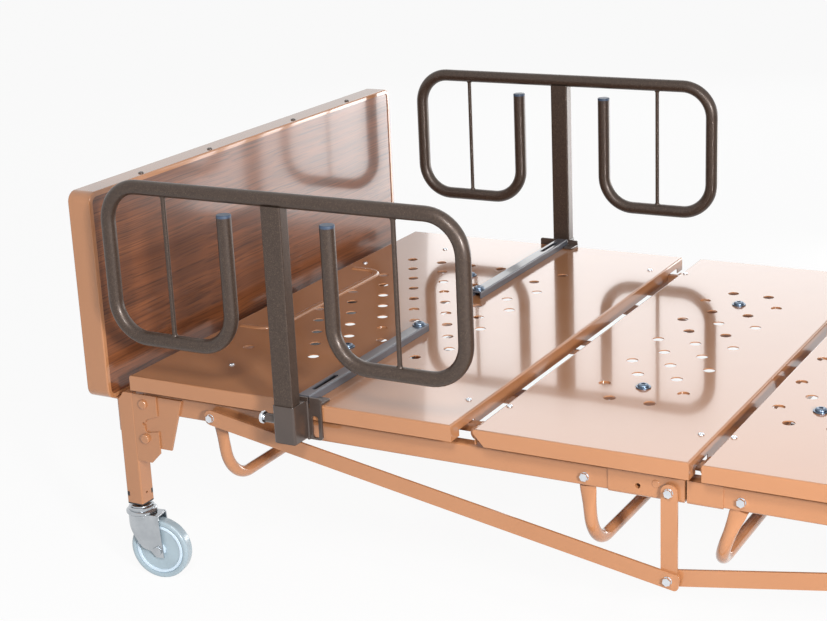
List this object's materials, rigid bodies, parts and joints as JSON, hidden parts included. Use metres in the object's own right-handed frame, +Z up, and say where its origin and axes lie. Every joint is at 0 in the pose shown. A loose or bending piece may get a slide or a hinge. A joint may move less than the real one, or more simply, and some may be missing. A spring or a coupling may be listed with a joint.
{
  "type": "adjustable hospital bed",
  "caption": "Wide adjustable hospital bed on swivel casters with hinged perforated deck pans, sliding T-shaped side rails, telescoping legs and wood-grain end boards.",
  "frame": {"origin": "on the floor under the middle of the bed, bottom centre of its bounding box, legs drawn in", "axes": "+X along the bed to the foot end, +Y across the bed to the far side, +Z up"},
  "size_m": [2.232, 1.164, 0.7847],
  "materials": {
    "tan_paint": "glossy tan-brown baked enamel",
    "bronze_paint": "dark bronze hammered powder coat",
    "dark_steel": "satin dark paint",
    "walnut_laminate": "glossy walnut-grain laminate",
    "zinc": "bright zinc plating",
    "chrome": "bright plating",
    "black_plastic": "moulded",
    "grey_cap": "moulded",
    "wheel_hub": "moulded pale blue-grey",
    "tyre": "smooth grey tread"
  },
  "bodies": {
    "frame": {"side_rails": "tan_paint", "rail_splices": "tan_paint", "cross_tubes": "tan_paint", "truss_bars": "tan_paint", "truss_struts": "tan_paint", "frame_bolts": "zinc", "end_gussets": "tan_paint", "leg_tubes": "tan_paint", "leg_guides": "black_plastic", "end_beams": "tan_paint", "board_hangers": "tan_paint", "hilo_drives": "dark_steel", "headboard_panel": "walnut_laminate", "headboard_rim": "tan_paint", "footboard_panel": "walnut_laminate", "footboard_rim": "tan_paint", "seat_pan": "tan_paint", "seat_supports": "tan_paint", "hinge_pins": "zinc", "motor_spine": "tan_paint", "bed_actuators": "dark_steel", "control_box": "black_plastic"},
    "backrest": {"backrest_pan": "tan_paint", "backrest_bars": "tan_paint", "rail_clamps": "dark_steel", "rail_arms": "dark_steel", "backrest_bolts": "zinc"},
    "thigh": {"thigh_pan": "tan_paint", "thigh_bars": "tan_paint", "thigh_bolts": "zinc"},
    "calf": {"calf_pan": "tan_paint", "calf_bars": "tan_paint", "calf_glides": "black_plastic"},
    "head_push": {"head_push_tube": "zinc"},
    "knee_pull": {"knee_pull_tube": "zinc"},
    "near_rail": {"near_rail_hoop": "bronze_paint", "near_rail_uprights": "bronze_paint", "near_rail_caps": "grey_cap"},
    "near_plunger_pin": {"near_plunger": "zinc"},
    "far_rail": {"far_rail_hoop": "bronze_paint", "far_rail_uprights": "bronze_paint", "far_rail_caps": "grey_cap"},
    "far_plunger_pin": {"far_plunger": "zinc"},
    "head_near_leg": {"head_near_inner_leg": "tan_paint"},
    "head_near_caster": {"head_near_fork": "chrome"},
    "head_near_wheel": {"head_near_hub": "wheel_hub", "head_near_tyre": "tyre"},
    "head_far_leg": {"head_far_inner_leg": "tan_paint"},
    "head_far_caster": {"head_far_fork": "chrome"},
    "head_far_wheel": {"head_far_hub": "wheel_hub", "head_far_tyre": "tyre"},
    "foot_near_leg": {"foot_near_inner_leg": "tan_paint"},
    "foot_near_caster": {"foot_near_fork": "chrome"},
    "foot_near_wheel": {"foot_near_hub": "wheel_hub", "foot_near_tyre": "tyre"},
    "foot_far_leg": {"foot_far_inner_leg": "tan_paint"},
    "foot_far_caster": {"foot_far_fork": "chrome"},
    "foot_far_wheel": {"foot_far_hub": "wheel_hub", "foot_far_tyre": "tyre"}
  },
  "joints": [
    {"name": "backrest_tilt", "type": "hinge", "parent": "frame", "child": "backrest", "pos_m": [-0.346, 0, 0.382], "axis": [0, 1, 0], "range_deg": [0, 60]},
    {"name": "thigh_lift", "type": "hinge", "parent": "frame", "child": "thigh", "pos_m": [0.048, 0, 0.382], "axis": [0, -1, 0], "range_deg": [0, 30]},
    {"name": "knee_bend", "type": "hinge", "parent": "thigh", "child": "calf", "pos_m": [0.396, 0, 0.382], "axis": [0, 1, 0], "range_deg": [0, 47.2]},
    {"name": "head_push_slide", "type": "slide", "parent": "frame", "child": "head_push", "axis": [-1, 0, 0], "range_m": [0, 0.103]},
    {"name": "knee_pull_slide", "type": "slide", "parent": "frame", "child": "knee_pull", "axis": [1, 0, 0], "range_m": [0, 0.048]},
    {"name": "near_rail_slide", "type": "slide", "parent": "backrest", "child": "near_rail", "axis": [0, 0, 1], "range_m": [-0.25, 0]},
    {"name": "near_plunger_pull", "type": "slide", "parent": "backrest", "child": "near_plunger_pin", "axis": [-1, 0, 0], "range_m": [0, 0.008], "stiffness_N_per_m": 800, "springref_m": -0.004},
    {"name": "far_rail_slide", "type": "slide", "parent": "backrest", "child": "far_rail", "axis": [0, 0, 1], "range_m": [-0.25, 0]},
    {"name": "far_plunger_pull", "type": "slide", "parent": "backrest", "child": "far_plunger_pin", "axis": [-1, 0, 0], "range_m": [0, 0.008], "stiffness_N_per_m": 800, "springref_m": -0.004},
    {"name": "head_near_leg_slide", "type": "slide", "parent": "frame", "child": "head_near_leg", "axis": [0, 0, -1], "range_m": [0, 0.14]},
    {"name": "head_near_swivel", "type": "hinge", "parent": "head_near_leg", "child": "head_near_caster", "pos_m": [-1.046, -0.4975, 0.13], "axis": [0, 0, 1], "continuous": true},
    {"name": "head_near_spin", "type": "hinge", "parent": "head_near_caster", "child": "head_near_wheel", "pos_m": [-1.01143, -0.49202, 0.0585], "axis": [-0.1564, 0.9877, 0], "continuous": true},
    {"name": "head_far_leg_slide", "type": "slide", "parent": "frame", "child": "head_far_leg", "axis": [0, 0, -1], "range_m": [0, 0.14]},
    {"name": "head_far_swivel", "type": "hinge", "parent": "head_far_leg", "child": "head_far_caster", "pos_m": [-1.046, 0.4975, 0.13], "axis": [0, 0, 1], "continuous": true},
    {"name": "head_far_spin", "type": "hinge", "parent": "head_far_caster", "child": "head_far_wheel", "pos_m": [-1.01143, 0.49202, 0.0585], "axis": [0.1564, 0.9877, 0], "continuous": true},
    {"name": "foot_near_leg_slide", "type": "slide", "parent": "frame", "child": "foot_near_leg", "axis": [0, 0, -1], "range_m": [0, 0.14]},
    {"name": "foot_near_swivel", "type": "hinge", "parent": "foot_near_leg", "child": "foot_near_caster", "pos_m": [1.046, -0.4975, 0.13], "axis": [0, 0, 1], "continuous": true},
    {"name": "foot_near_spin", "type": "hinge", "parent": "foot_near_caster", "child": "foot_near_wheel", "pos_m": [1.01143, -0.49202, 0.0585], "axis": [0.1564, 0.9877, 0], "continuous": true},
    {"name": "foot_far_leg_slide", "type": "slide", "parent": "frame", "child": "foot_far_leg", "axis": [0, 0, -1], "range_m": [0, 0.14]},
    {"name": "foot_far_swivel", "type": "hinge", "parent": "foot_far_leg", "child": "foot_far_caster", "pos_m": [1.046, 0.4975, 0.13], "axis": [0, 0, 1], "continuous": true},
    {"name": "foot_far_spin", "type": "hinge", "parent": "foot_far_caster", "child": "foot_far_wheel", "pos_m": [1.01143, 0.49202, 0.0585], "axis": [-0.1564, 0.9877, 0], "continuous": true}
  ],
  "couplings": [
    {"joint": "knee_bend", "follows": "thigh_lift", "ratio": 1.57},
    {"joint": "head_push_slide", "follows": "backrest_tilt", "m_per_rad": 0.09814},
    {"joint": "knee_pull_slide", "follows": "thigh_lift", "m_per_rad": 0.09109},
    {"joint": "head_far_leg_slide", "follows": "head_near_leg_slide", "ratio": 1},
    {"joint": "foot_near_leg_slide", "follows": "head_near_leg_slide", "ratio": 1},
    {"joint": "foot_far_leg_slide", "follows": "head_near_leg_slide", "ratio": 1}
  ]
}
